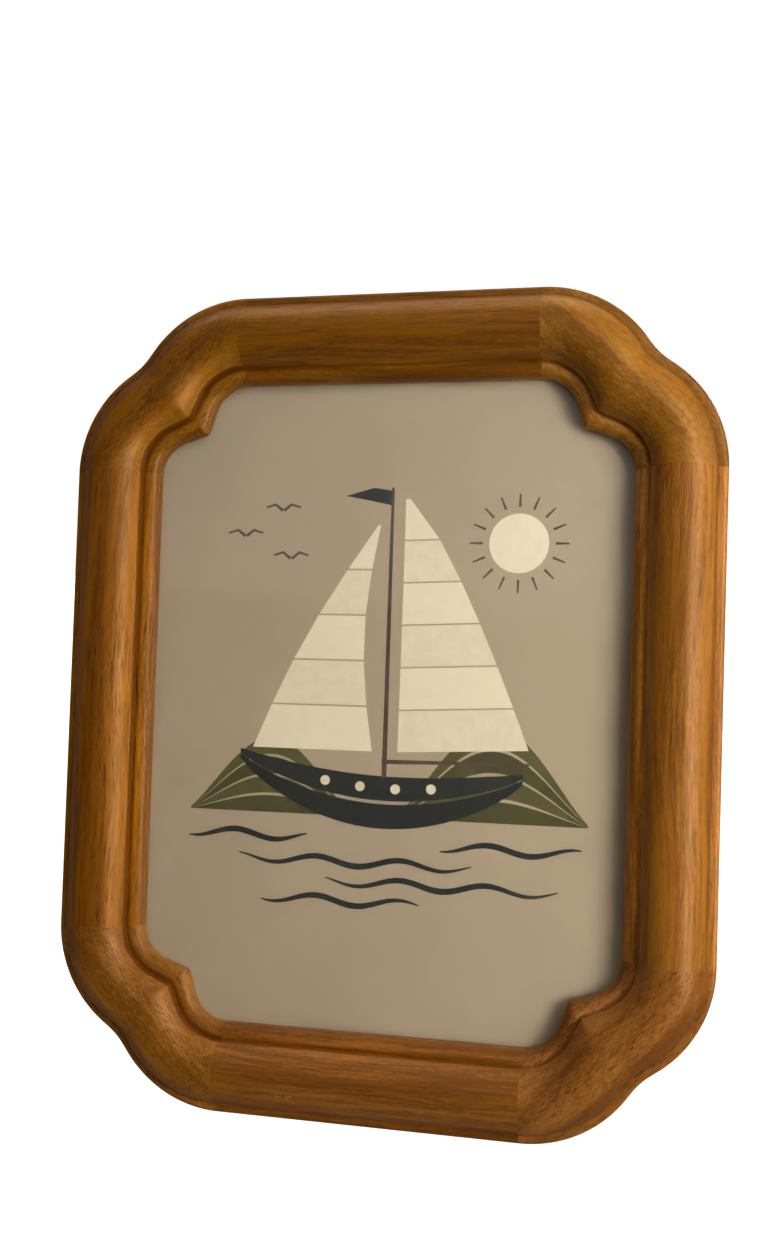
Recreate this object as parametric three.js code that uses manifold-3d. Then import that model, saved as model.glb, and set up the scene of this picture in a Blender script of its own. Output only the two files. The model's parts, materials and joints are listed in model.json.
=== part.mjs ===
// Picture frame in moulded hardwood, standing on its easel leg. Four straight rails and four lobed
// corner blocks are dowelled and glued around a glazed print. Turn buttons hold the back board in,
// and the leg folds flat on a riveted hinge with a stop.
//
// Millimetres. In the finished part +Z is up, the picture faces -Y and the origin lies on the table
// under the middle of the part. The frame itself is drawn flat: x to the right, y up the picture,
// z towards the viewer, z = 0 on the back of the wood, with the origin at the middle of the frame.

import * as THREE from "three";
import { mergeVertices } from "three/addons/utils/BufferGeometryUtils.js";
import Module from "manifold-3d";

const wasm = await Module();
wasm.setup();

// Outline of the frame
const frameWidth = 200;
const frameHeight = 250;
const railWidth = 26.2; // from the outer edge to the sight edge
const sightLobeRadius = 10.8; // radius of a corner's two lobes at the sight edge
const lobeSpread = 17; // how much further a lobe's centre is from one outer edge than from the other
const notchFlank = 2.5; // half width of the straight flanks at the outer notch
const cuspFlank = 7.1; // half width of the straight flanks at the inner cusp
const notchEase = 5; // half width of the rounding at the outer notch
const cuspEase = 1; // half width of the rounding at the inner cusp

// Section of the moulding
const ledgeWidth = 2.6; // flat ledge along the outer edge
const ledgeRound = 1.3; // radius of the ledge's outer edge
const ledgeStep = 1; // from the ledge up to the foot of the large round
const roundRise = 6; // from the foot of the large round up to its crest
const beadWidth = 4.6; // from the large round to the sight edge
const beadRadius = 3.1;
const beadDrop = 2.9; // from the foot of the large round down to the crest of the bead
const sightWall = 1.8; // plain wall between the bead and the rebate
const lipWidth = 3.4; // wood that overlaps the edge of the glass
const rebateCorner = 2.5; // corner radius of the rebate

// Sheets in the rebate
const glassThickness = 2;
const printThickness = 0.4;
const boardThickness = 3;
const boardRecess = 0.3; // the board's back lies this far inside the back of the wood
const sheetGap = 0.2; // between a sheet and what lies in front of it
const sheetClearance = 0.8; // between a sheet's edge and the rebate's wall

// Glued joints between rails and corner blocks
const glueLine = 0.1;
const dowelDiameter = 8;
const dowelLength = 36;
const dowelFit = 0.15; // between a dowel and its hole, all round
const dowelEndGap = 0.5; // glue space past each end of a dowel

// Turn buttons on the side rails, and their screws
const buttonWidth = 9;
const buttonReach = 17; // from the screw to the tip
const buttonThickness = 1.2;
const buttonThumb = 3.6; // length of the raised thumb end
const buttonBend = 3.6; // length of the slope up to the thumb end
const buttonLift = 1.6; // how far the thumb end is raised
const buttonSetback = 7; // from the rebate's wall out to the screw
const buttonClearance = 10.95; // along the rail, from a dowel's end to the screw's axis
const screw = { diameter: 3, headDiameter: 6.4, headHeight: 1.9, tip: 3 };
const screwDepth = 11; // in the wood
const screwSlotLength = 3.8;
const screwSlotWidth = 1;
const screwSlotDepth = 1.1;

// Easel leg and its hinge
const leanAngle = THREE.MathUtils.degToRad(14); // of the frame, back from upright
const legAngle = THREE.MathUtils.degToRad(28); // between the back of the frame and the open leg
const hingeHeight = 160; // from the frame's lower edge up to the hinge pin
const legThickness = 3;
const legTopWidth = 36;
const legFootWidth = 62;
const legTopRound = 5;
const leafThickness = 0.8;
const boardLeafWidth = 34;
const legLeafWidth = 26;
const leafLength = 21; // from the pin to a leaf's free end
const leafRound = 3;
const knuckleLength = 13; // of the leg's knuckle, between the board's two
const knuckleGap = 0.3; // between neighbouring knuckles
const pinFit = 0.2; // between the pin and the knuckles, all round
const pinHeadRadius = 2.2;
const pinHeadLength = 0.8;
const stopGap = 0.2; // between the leg's heel and the board's leaf when the leg is open
const rivet = { diameter: 3, headDiameter: 5.6, headHeight: 1.1, tip: 0 };
const rivetInset = 6; // from a leaf's free end
const boardRivetSpacing = 22;
const legRivetSpacing = 15;

// Wall hanger on the top rail, and its nails
const hangerClearance = 5.95; // along the rail, from a dowel's end to the hanger
const hangerWidth = 9;
const hangerThickness = 0.9;
const hangerRaise = 2; // of the toothed middle, off the wood
const hangerEndShare = 0.2; // of its length, in each flat end
const hangerBendShare = 0.07; // of its length, in each slope between an end and the middle
const hangerToothDepth = 1.6;
const hangerToothCount = 9;
const nail = { diameter: 1.6, headDiameter: 4, headHeight: 0.8, tip: 2 };
const nailDepth = 12; // in the wood

// Fits shared by the small metal pieces
const seatGap = 0.2; // between a piece and what it is fastened against
const shankFit = 0.15; // between a shank and its hole, all round

// How finely curves are faceted
const lobeSteps = 7;
const flankSteps = 3;
const roundSteps = 10;
const beadSteps = 6;
const ledgeSteps = 2;
const filletSteps = 3;
const headSteps = 3;
const barrelSides = 20;
const shankSides = 12;

// Derived sizes of the section and the rebate
const rebateDepth = boardRecess + boardThickness + printThickness + glassThickness + 3 * sheetGap;
const rebateInset = railWidth - lipWidth;
const beadCentreHeight = rebateDepth + sightWall;
const footHeight = beadCentreHeight + beadRadius + beadDrop;
const ledgeHeight = footHeight - ledgeStep;

// Derived sizes of the corners and joints, and of the fittings between two joints
const lobeRadius = sightLobeRadius + railWidth;
const cornerLength = lobeRadius + lobeSpread;
const topRailLength = frameWidth - 2 * (cornerLength + glueLine);
const sideRailLength = frameHeight - 2 * (cornerLength + glueLine);
const dowelInset = rebateInset / 2;
const dowelHeight = footHeight / 2;
const buttonSpacing = sideRailLength + glueLine - dowelLength - 2 * buttonClearance;
const hangerLength = topRailLength + glueLine - dowelLength - 2 * hangerClearance;
const hangerEnd = hangerLength * hangerEndShare;
const hangerBend = hangerLength * hangerBendShare;

// Derived places of the sheets, as heights above the back of the wood
const boardFront = boardRecess + boardThickness;
const printBack = boardFront + sheetGap;
const glassBack = printBack + printThickness + sheetGap;

// Derived sizes of the hinge. The leg's middle plane passes through the pin.
const knuckleRadius = legThickness / 2 + seatGap + leafThickness;
const boreRadius = knuckleRadius - leafThickness;
const pinRadius = boreRadius - pinFit;
const leafClearance = knuckleRadius + 2 * knuckleGap; // where a leaf or the leg clears the other's knuckle
const sideKnuckleLength = (boardLeafWidth - knuckleLength) / 2 - knuckleGap;
const hingeDepth = boardRecess - seatGap - knuckleRadius;
const heelLength = (boreRadius - stopGap + boreRadius * Math.cos(legAngle)) / Math.sin(legAngle);

// Longer than any hole is deep, for cutters that go right through
const throughLength = frameHeight;

// Finishes
const wood = { color: 0x8a5417, roughness: 0.42, metalness: 0 };
const beech = { color: 0xc9a36b, roughness: 0.7, metalness: 0 };
const clearGlass = { color: 0xf2f6f4, roughness: 0.05, metalness: 0, transparent: true, opacity: 0.2 };
const paper = { color: 0xa8957b, roughness: 0.8, metalness: 0 };
const fibreboard = { color: 0x5b4029, roughness: 0.85, metalness: 0 };
const platedSteel = { color: 0xb4b2ac, roughness: 0.35, metalness: 1 };
const brassedSteel = { color: 0xb08d4e, roughness: 0.38, metalness: 1 };

// Solids: joining and cutting

function toSolid(geometry) {
  const bare = geometry.clone();
  bare.deleteAttribute("normal");
  bare.deleteAttribute("uv");
  const merged = mergeVertices(bare);
  const corners = merged.index.array;
  const triangles = [];
  for (let i = 0; i < corners.length; i += 3) {
    const [a, b, c] = corners.slice(i, i + 3);
    if (a !== b && b !== c && c !== a) {
      triangles.push(a, b, c);
    }
  }
  const vertProperties = new Float32Array(merged.attributes.position.array);
  const triVerts = new Uint32Array(triangles);
  return new wasm.Manifold(new wasm.Mesh({ numProp: 3, vertProperties, triVerts }));
}

function toGeometry(solid) {
  const mesh = solid.getMesh();
  const geometry = new THREE.BufferGeometry();
  geometry.setAttribute("position", new THREE.BufferAttribute(mesh.vertProperties, 3));
  geometry.setIndex(new THREE.BufferAttribute(mesh.triVerts, 1));
  geometry.computeVertexNormals();
  return geometry;
}

function cut(geometry, ...cutters) {
  const solid = cutters.reduce((rest, cutter) => rest.subtract(toSolid(cutter)), toSolid(geometry));
  return toGeometry(solid);
}

function join(geometry, ...others) {
  const solid = others.reduce((whole, other) => whole.add(toSolid(other)), toSolid(geometry));
  return toGeometry(solid);
}

function overlap(geometry, other) {
  return toGeometry(toSolid(geometry).intersect(toSolid(other)));
}

// Outlines

// Points of an arc, both ends included, or its one point where the radius is zero.
function arcPoints(centreX, centreY, radius, from, to, steps) {
  if (radius === 0) {
    return [new THREE.Vector2(centreX, centreY)];
  }
  return Array.from({ length: steps + 1 }, (_, i) => {
    const angle = THREE.MathUtils.lerp(from, to, i / steps);
    return new THREE.Vector2(centreX + radius * Math.cos(angle), centreY + radius * Math.sin(angle));
  });
}

// Rectangle whose two lower and two upper corners may be round.
function rectangle(left, bottom, right, top, lowerRound = 0, upperRound = 0) {
  const quarter = Math.PI / 2;
  const low = bottom + lowerRound;
  const high = top - upperRound;
  return [
    ...arcPoints(left + lowerRound, low, lowerRound, 2 * quarter, 3 * quarter, filletSteps),
    ...arcPoints(right - lowerRound, low, lowerRound, 3 * quarter, 4 * quarter, filletSteps),
    ...arcPoints(right - upperRound, high, upperRound, 0, quarter, filletSteps),
    ...arcPoints(left + upperRound, high, upperRound, quarter, 2 * quarter, filletSteps),
  ];
}

// Plain shapes

// Plate with its outline in x and y, between two heights.
function plate(outline, from, to) {
  const settings = { depth: to - from, bevelEnabled: false };
  return new THREE.ExtrudeGeometry(new THREE.Shape(outline), settings).translate(0, 0, from);
}

// Bar along x, centred, with its section in y and z.
function barAlongX(section, length) {
  const y = new THREE.Vector3(0, 1, 0);
  const z = new THREE.Vector3(0, 0, 1);
  const x = new THREE.Vector3(1, 0, 0);
  return plate(section, -length / 2, length / 2).applyMatrix4(new THREE.Matrix4().makeBasis(y, z, x));
}

// Bar along y, centred, with its section in x and z.
function barAlongY(section, length) {
  return plate(section, -length / 2, length / 2).rotateX(Math.PI / 2);
}

function rodAlongX(radius, length, sides) {
  return new THREE.CylinderGeometry(radius, radius, length, sides).rotateZ(Math.PI / 2);
}

function rodAlongZ(radius, length, sides) {
  return new THREE.CylinderGeometry(radius, radius, length, sides).rotateX(Math.PI / 2);
}

// Turned piece about z. The profile lists radius and height from axis to axis, upwards.
function turned(profile, sides) {
  const points = profile.map(([radius, height]) => new THREE.Vector2(radius, height));
  return new THREE.LatheGeometry(points, sides).rotateX(Math.PI / 2);
}

// Closed solid through rings of matching points, with the section's own triangles on both ends.
function loft(rings, section) {
  const count = section.length;
  const lastRing = (rings.length - 1) * count;
  const index = [];
  for (let start = 0; start < lastRing; start += count) {
    for (let i = 0; i < count; i++) {
      const here = start + i;
      const next = start + ((i + 1) % count);
      index.push(here, next + count, next);
      index.push(here, here + count, next + count);
    }
  }
  for (const [a, b, c] of THREE.ShapeUtils.triangulateShape(section, [])) {
    index.push(a, b, c);
    index.push(lastRing + a, lastRing + c, lastRing + b);
  }
  const geometry = new THREE.BufferGeometry();
  geometry.setAttribute("position", new THREE.Float32BufferAttribute(rings.flat(2), 3));
  geometry.setIndex(index);
  return geometry;
}

// Fasteners, turned about z: z = 0 is under the domed head, and the shank runs along +z.

function fastenerGeometry(kind, shankLength) {
  const head = kind.headDiameter / 2;
  const shank = kind.diameter / 2;
  const dome = arcPoints(0, 0, 1, -Math.PI / 2, 0, headSteps);
  return turned(
    [
      ...dome.map((point) => [head * point.x, kind.headHeight * point.y]),
      [shank, 0],
      [shank, shankLength - kind.tip],
      [0, shankLength],
    ],
    shankSides,
  );
}

function screwGeometry(shankLength) {
  const slots = [0, Math.PI / 2].map((turn) =>
    new THREE.BoxGeometry(screwSlotLength, screwSlotWidth, 2 * screwSlotDepth)
      .rotateZ(turn)
      .translate(0, 0, -screw.headHeight),
  );
  return cut(fastenerGeometry(screw, shankLength), ...slots);
}

// Holes for a kind of fastener at a list of places, reaching a depth on either side of z = 0.
function shankHoles(kind, places, depth) {
  const radius = kind.diameter / 2 + shankFit;
  return places.map(([x, y]) => rodAlongZ(radius, 2 * depth, shankSides).translate(x, y, 0));
}

// Places of the fasteners. Those in a rail are in the rail's own plan, as railGeometry draws it.

const buttonPlaces = [-1, 1].map((end) => [(end * buttonSpacing) / 2, buttonSetback - rebateInset]);
const nailPlaces = [-1, 1].map((end) => [(end * (hangerLength - hangerEnd)) / 2, -rebateInset / 2]);
const boardRivetPlaces = [-1, 1].map((end) => [(end * boardRivetSpacing) / 2, leafLength - rivetInset]);
const legRivetPlaces = [-1, 1].map((end) => [(end * legRivetSpacing) / 2, rivetInset - leafLength]);

// Moulding

// Front of the section, from the sight edge out and down to the back. In its points x is the
// distance in from the outer edge and y the height above the back.
function mouldingFront() {
  const stepInset = railWidth - beadWidth;
  const beadCentre = railWidth - beadRadius;
  const beadEnd = Math.acos((stepInset - beadCentre) / beadRadius);
  const halfChord = (stepInset - ledgeWidth) / 2;
  const roundRadius = (halfChord ** 2 + roundRise ** 2) / (2 * roundRise);
  const roundCentreHeight = footHeight + roundRise - roundRadius;
  const roundStart = Math.atan2(footHeight - roundCentreHeight, halfChord);
  const roundEnd = Math.PI - roundStart;
  const roundCentre = ledgeWidth + halfChord;
  const edgeCentreHeight = ledgeHeight - ledgeRound;
  return [
    ...arcPoints(beadCentre, beadCentreHeight, beadRadius, 0, beadEnd, beadSteps),
    ...arcPoints(roundCentre, roundCentreHeight, roundRadius, roundStart, roundEnd, roundSteps),
    new THREE.Vector2(ledgeWidth, ledgeHeight),
    ...arcPoints(ledgeRound, edgeCentreHeight, ledgeRound, Math.PI / 2, Math.PI, ledgeSteps),
    new THREE.Vector2(0, 0),
  ];
}

// Hole for one dowel, centred on its joint and lying along x.
function dowelHole() {
  return rodAlongX(dowelDiameter / 2 + dowelFit, dowelLength + 2 * dowelEndGap, shankSides);
}

// Straight rail along x, with its outer edge at y = 0 and its sight edge at y = -railWidth.
function railGeometry(length) {
  const section = [
    new THREE.Vector2(rebateInset, 0),
    new THREE.Vector2(rebateInset, rebateDepth),
    new THREE.Vector2(railWidth, rebateDepth),
    ...mouldingFront(),
  ];
  const ends = [-length / 2, length / 2];
  const rings = ends.map((x) => section.map((point) => [x, -point.x, point.y]));
  const joints = [-length / 2 - glueLine / 2, length / 2 + glueLine / 2];
  const holes = joints.map((x) => dowelHole().translate(x, -dowelInset, dowelHeight));
  return cut(loft(rings, section), ...holes);
}

// Plan of a corner at one distance in from the outer edge, from joint to joint: two lobes, with
// straight flanks that meet on the diagonal. The corner's own origin is where its two outer edges
// would meet, and the frame lies to the lower left of it.
function cornerPlan(inset) {
  const radius = lobeRadius - inset;
  const share = inset / railWidth;
  const flank = THREE.MathUtils.lerp(notchFlank, cuspFlank, share);
  const ease = THREE.MathUtils.lerp(notchEase, cuspEase, share);
  const sweep = Math.acos((Math.SQRT2 * flank - lobeSpread) / (Math.SQRT2 * radius)) - Math.PI / 4;
  const lobeStart = -Math.PI / 2;
  const half = arcPoints(cornerLength, lobeRadius, radius, lobeStart, lobeStart - sweep, lobeSteps);
  const lobeEnd = half.at(-1);
  const flankLength = (lobeEnd.x - lobeEnd.y) / (Math.cos(sweep) + Math.sin(sweep));
  const along = new THREE.Vector2(-Math.cos(sweep), Math.sin(sweep)).multiplyScalar(flankLength / flankSteps);
  for (let i = 1; i <= flankSteps; i++) {
    half.push(lobeEnd.clone().addScaledVector(along, i));
  }
  const slope = Math.tan(sweep - Math.PI / 4);
  for (const point of half) {
    const fromDiagonal = (point.x - point.y) / Math.SQRT2;
    const intoRounding = Math.max(ease - fromDiagonal, 0);
    const pullBack = (slope * intoRounding ** 2) / (2 * ease * Math.SQRT2);
    point.addScalar(-pullBack).negate();
  }
  const mirrored = half.slice(0, -1).reverse();
  return [...half, ...mirrored.map((point) => new THREE.Vector2(point.y, point.x))];
}

function cornerGeometry() {
  const section = [new THREE.Vector2(railWidth, 0), ...mouldingFront()];
  const plans = section.map((point) => cornerPlan(point.x));
  const rings = plans[0].map((_, station) =>
    section.map((point, i) => [plans[i][station].x, plans[i][station].y, point.y]),
  );
  const roundCentre = -rebateInset - rebateCorner;
  const far = -2 * cornerLength;
  const rebateOutline = [
    new THREE.Vector2(far, -rebateInset),
    new THREE.Vector2(far, far),
    new THREE.Vector2(-rebateInset, far),
    ...arcPoints(roundCentre, roundCentre, rebateCorner, 0, Math.PI / 2, filletSteps),
  ];
  const rebate = plate(rebateOutline, -rebateDepth, rebateDepth);
  const jointMiddle = -cornerLength - glueLine / 2;
  const holeAlongX = dowelHole().translate(jointMiddle, -dowelInset, dowelHeight);
  const holeAlongY = dowelHole().rotateZ(Math.PI / 2).translate(-dowelInset, jointMiddle, dowelHeight);
  return cut(loft(rings, section), rebate, holeAlongX, holeAlongY);
}

// Outline that the glass, the print and the back board share.
function sheetOutline() {
  const halfWidth = frameWidth / 2 - rebateInset - sheetClearance;
  const halfHeight = frameHeight / 2 - rebateInset - sheetClearance;
  const round = Math.max(rebateCorner - sheetClearance, 0);
  return rectangle(-halfWidth, -halfHeight, halfWidth, halfHeight, round, round);
}

// Back fittings

// Turn button about its screw, reaching along +x, with z = 0 on the side against the wood.
function buttonGeometry() {
  const end = buttonWidth / 2;
  const thumbStart = buttonReach - buttonThumb;
  const bendStart = thumbStart - buttonBend;
  const side = [
    new THREE.Vector2(-end, -buttonThickness),
    new THREE.Vector2(bendStart, -buttonThickness),
    new THREE.Vector2(thumbStart, -buttonThickness - buttonLift),
    new THREE.Vector2(buttonReach, -buttonThickness - buttonLift),
    new THREE.Vector2(buttonReach, -buttonLift),
    new THREE.Vector2(thumbStart, -buttonLift),
    new THREE.Vector2(bendStart, 0),
    new THREE.Vector2(-end, 0),
  ];
  const outline = [
    ...arcPoints(buttonReach - end, 0, end, -Math.PI / 2, Math.PI / 2, 2 * filletSteps),
    ...arcPoints(0, 0, end, Math.PI / 2, (3 * Math.PI) / 2, 2 * filletSteps),
  ];
  const strip = barAlongY(side, 2 * buttonWidth);
  const blank = overlap(strip, plate(outline, -throughLength, throughLength));
  return cut(blank, ...shankHoles(screw, [[0, 0]], throughLength));
}

// Toothed wall hanger, centred, with z = 0 on the side against the wood.
function hangerGeometry() {
  const half = hangerLength / 2;
  const bendStart = half - hangerEnd;
  const middle = bendStart - hangerBend;
  const inner = [
    new THREE.Vector2(-half, 0),
    new THREE.Vector2(-bendStart, 0),
    new THREE.Vector2(-middle, -hangerRaise),
    new THREE.Vector2(middle, -hangerRaise),
    new THREE.Vector2(bendStart, 0),
    new THREE.Vector2(half, 0),
  ];
  const outer = inner.map((point) => new THREE.Vector2(point.x, point.y - hangerThickness));
  const strip = barAlongY([...outer, ...inner.reverse()], 2 * hangerWidth);
  const top = hangerWidth / 2;
  const pitch = (2 * middle) / hangerToothCount;
  const teeth = Array.from({ length: hangerToothCount }, (_, i) => [
    new THREE.Vector2(i * pitch - middle, -top),
    new THREE.Vector2((i + 0.5) * pitch - middle, hangerToothDepth - top),
  ]);
  const outline = [
    new THREE.Vector2(-half, -top),
    ...teeth.flat(),
    new THREE.Vector2(middle, -top),
    new THREE.Vector2(half, -top),
    new THREE.Vector2(half, top),
    new THREE.Vector2(-half, top),
  ];
  const blank = overlap(strip, plate(outline, -throughLength, throughLength));
  return cut(blank, ...shankHoles(nail, nailPlaces.map(([x]) => [x, 0]), throughLength));
}

// Easel. Its pieces are drawn about the hinge pin, with the leg along -y as when it is folded.

function knuckle(from, to) {
  return rodAlongX(knuckleRadius, to - from, barrelSides).translate((from + to) / 2, 0, 0);
}

function pinBore() {
  return rodAlongX(boreRadius, throughLength, barrelSides);
}

// Leaf on the back board, above the pin, with a knuckle at each side.
function boardLeafGeometry() {
  const half = boardLeafWidth / 2;
  const starts = [-half, half - sideKnuckleLength];
  const leafOutline = rectangle(-half, leafClearance, half, leafLength, 0, leafRound);
  const leaf = plate(leafOutline, boreRadius, knuckleRadius);
  const tabs = starts.map((left) =>
    plate(rectangle(left, 0, left + sideKnuckleLength, leafClearance + leafRound), boreRadius, knuckleRadius),
  );
  const knuckles = starts.map((left) => knuckle(left, left + sideKnuckleLength));
  const holes = shankHoles(rivet, boardRivetPlaces, throughLength);
  return cut(join(leaf, ...tabs, ...knuckles), pinBore(), ...holes);
}

// Leaf on the leg, below the pin, with the middle knuckle and the heel that stops the leg.
function legLeafGeometry() {
  const half = legLeafWidth / 2;
  const middle = knuckleLength / 2;
  const leafOutline = rectangle(-half, -leafLength, half, -leafClearance, leafRound, 0);
  const heelOutline = rectangle(-middle, -leafClearance - leafRound, middle, heelLength);
  const leaf = plate(leafOutline, -knuckleRadius, -boreRadius);
  const heel = plate(heelOutline, -knuckleRadius, -boreRadius);
  const holes = shankHoles(rivet, legRivetPlaces, throughLength);
  return cut(join(leaf, heel, knuckle(-middle, middle)), pinBore(), ...holes);
}

function pinGeometry() {
  const shoulder = boardLeafWidth / 2 + knuckleGap;
  const end = shoulder + pinHeadLength;
  const profile = [
    [0, -end],
    [pinHeadRadius, -end],
    [pinHeadRadius, -shoulder],
    [pinRadius, -shoulder],
    [pinRadius, shoulder],
    [pinHeadRadius, shoulder],
    [pinHeadRadius, end],
    [0, end],
  ];
  return turned(profile, barrelSides).rotateY(Math.PI / 2);
}

// Leg with its foot cut to lie flat on the table when the leg is open.
function legGeometry() {
  const pinHeight = hingeHeight * Math.cos(leanAngle) + hingeDepth * Math.sin(leanAngle);
  const slant = legAngle - leanAngle;
  const foot = (depth) => (depth * Math.sin(slant) - pinHeight) / Math.cos(slant);
  const back = -legThickness / 2;
  const front = legThickness / 2;
  const side = [
    new THREE.Vector2(foot(back), back),
    new THREE.Vector2(-leafClearance, back),
    new THREE.Vector2(-leafClearance, front),
    new THREE.Vector2(foot(front), front),
  ];
  const lowest = Math.min(foot(back), foot(front));
  const shoulder = -leafClearance - legTopRound;
  const shoulderHalf = legTopWidth / 2 - legTopRound;
  const outline = [
    new THREE.Vector2(-legFootWidth / 2, lowest),
    new THREE.Vector2(legFootWidth / 2, lowest),
    ...arcPoints(shoulderHalf, shoulder, legTopRound, 0, Math.PI / 2, filletSteps),
    ...arcPoints(-shoulderHalf, shoulder, legTopRound, Math.PI / 2, Math.PI, filletSteps),
  ];
  const slab = barAlongX(side, 2 * legFootWidth);
  const blank = overlap(slab, plate(outline, -throughLength, throughLength));
  return cut(blank, ...shankHoles(rivet, legRivetPlaces, throughLength));
}

// Assembly

function addPiece(parent, name, geometry, finish) {
  const mesh = new THREE.Mesh(geometry, new THREE.MeshStandardMaterial(finish));
  mesh.name = name;
  parent.add(mesh);
  return mesh;
}

// Each side has the middle of its outer edge at x and y, and its rail turned so that +y points out.
// The two ends are named from the rail's -x end to its +x end.
const screwHoles = shankHoles(screw, buttonPlaces, screwDepth + seatGap);
const nailHoles = shankHoles(nail, nailPlaces, nailDepth + seatGap);
const sides = {
  top: {
    turn: 0,
    x: 0,
    y: frameHeight / 2,
    length: topRailLength,
    ends: ["left", "right"],
    holes: nailHoles,
  },
  left: {
    turn: Math.PI / 2,
    x: -frameWidth / 2,
    y: 0,
    length: sideRailLength,
    ends: ["lower", "upper"],
    holes: screwHoles,
  },
  bottom: {
    turn: Math.PI,
    x: 0,
    y: -frameHeight / 2,
    length: topRailLength,
    ends: ["right", "left"],
    holes: [],
  },
  right: {
    turn: -Math.PI / 2,
    x: frameWidth / 2,
    y: 0,
    length: sideRailLength,
    ends: ["upper", "lower"],
    holes: screwHoles,
  },
};

// Group in the place of a side's rail, for the rail and what lies along it.
function sideGroup(side) {
  const group = new THREE.Group();
  group.position.set(side.x, side.y, 0);
  group.rotation.z = side.turn;
  return group;
}

function addRails(frame) {
  const dowel = rodAlongX(dowelDiameter / 2, dowelLength, shankSides);
  for (const [name, side] of Object.entries(sides)) {
    const group = sideGroup(side);
    frame.add(group);
    addPiece(group, `${name}_rail`, cut(railGeometry(side.length), ...side.holes), wood);
    const joint = (side.length + glueLine) / 2;
    side.ends.forEach((end, i) => {
      const peg = addPiece(group, `${name}_rail_dowel_${end}`, dowel, beech);
      peg.position.set([-joint, joint][i], -dowelInset, dowelHeight);
    });
  }
}

function addCorners(frame) {
  const geometry = cornerGeometry();
  const corners = {
    top_right: { turn: 0, x: 1, y: 1 },
    top_left: { turn: Math.PI / 2, x: -1, y: 1 },
    bottom_left: { turn: Math.PI, x: -1, y: -1 },
    bottom_right: { turn: -Math.PI / 2, x: 1, y: -1 },
  };
  for (const [name, corner] of Object.entries(corners)) {
    const block = addPiece(frame, `${name}_corner`, geometry, wood);
    block.position.set((corner.x * frameWidth) / 2, (corner.y * frameHeight) / 2, 0);
    block.rotation.z = corner.turn;
  }
}

function addSheets(frame) {
  const outline = sheetOutline();
  const hingeY = hingeHeight - frameHeight / 2;
  const holes = shankHoles(rivet, boardRivetPlaces.map(([x, y]) => [x, y + hingeY]), throughLength);
  addPiece(frame, "glass_pane", plate(outline, glassBack, glassBack + glassThickness), clearGlass);
  addPiece(frame, "art_print", plate(outline, printBack, printBack + printThickness), paper);
  addPiece(frame, "back_board", cut(plate(outline, boardRecess, boardFront), ...holes), fibreboard);
}

function addTurnButtons(frame) {
  const button = buttonGeometry();
  const buttonScrew = screwGeometry(screwDepth + buttonThickness + 2 * seatGap);
  for (const name of ["left", "right"]) {
    const group = sideGroup(sides[name]);
    frame.add(group);
    buttonPlaces.forEach(([x, y], i) => {
      const label = `${name}_${sides[name].ends[i]}`;
      const tab = addPiece(group, `turn_button_${label}`, button, brassedSteel);
      tab.position.set(x, y, -seatGap);
      tab.rotation.z = -Math.PI / 2;
      const fastener = addPiece(group, `turn_button_screw_${label}`, buttonScrew, brassedSteel);
      fastener.position.set(x, y, -2 * seatGap - buttonThickness);
    });
  }
}

function addHanger(frame) {
  const group = sideGroup(sides.top);
  frame.add(group);
  const hanger = addPiece(group, "sawtooth_hanger", hangerGeometry(), platedSteel);
  hanger.position.set(0, nailPlaces[0][1], -seatGap);
  const hangerNail = fastenerGeometry(nail, nailDepth + hangerThickness + 2 * seatGap);
  nailPlaces.forEach(([x, y], i) => {
    const fastener = addPiece(group, `hanger_nail_${["left", "right"][i]}`, hangerNail, platedSteel);
    fastener.position.set(x, y, -2 * seatGap - hangerThickness);
  });
}

function addEasel(frame) {
  const hinge = new THREE.Group();
  hinge.position.set(0, hingeHeight - frameHeight / 2, hingeDepth);
  frame.add(hinge);
  addPiece(hinge, "hinge_board_leaf", boardLeafGeometry(), platedSteel);
  addPiece(hinge, "hinge_pin", pinGeometry(), platedSteel);
  const boardRivet = fastenerGeometry(rivet, boardThickness + leafThickness + seatGap);
  boardRivetPlaces.forEach(([x, y], i) => {
    const fastener = addPiece(hinge, `hinge_board_rivet_${["left", "right"][i]}`, boardRivet, platedSteel);
    fastener.position.set(x, y, boreRadius - seatGap);
  });

  const leg = new THREE.Group();
  leg.rotation.x = legAngle;
  hinge.add(leg);
  addPiece(leg, "easel_leg", legGeometry(), fibreboard);
  addPiece(leg, "hinge_leg_leaf", legLeafGeometry(), platedSteel);
  const legRivet = fastenerGeometry(rivet, legThickness + leafThickness + seatGap);
  legRivetPlaces.forEach(([x, y], i) => {
    const fastener = addPiece(leg, `hinge_leg_rivet_${["left", "right"][i]}`, legRivet, platedSteel);
    fastener.position.set(x, y, -knuckleRadius - seatGap);
  });
}

const frame = new THREE.Group();
frame.rotation.x = Math.PI / 2 - leanAngle;
addRails(frame);
addCorners(frame);
addSheets(frame);
addTurnButtons(frame);
addHanger(frame);
addEasel(frame);

const pictureFrame = new THREE.Group();
pictureFrame.add(frame);

// Stand the part on the table, with its origin under the middle of its box.
const box = new THREE.Box3().setFromObject(pictureFrame, true);
const middle = box.getCenter(new THREE.Vector3());
frame.position.set(-middle.x, -middle.y, -box.min.z);

export default pictureFrame;
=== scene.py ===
# Looks of the standing picture frame: moulded and stained hardwood, a glazed print, and the back
# with its easel leg, turn buttons and wall hanger. Everything is in metres, in the frame's own place.

import json
from math import acos, atan2, cos, exp, pi, radians, sin, sqrt, tan

import bmesh
import bpy
import numpy as np
from mathutils import Matrix, Vector

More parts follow.
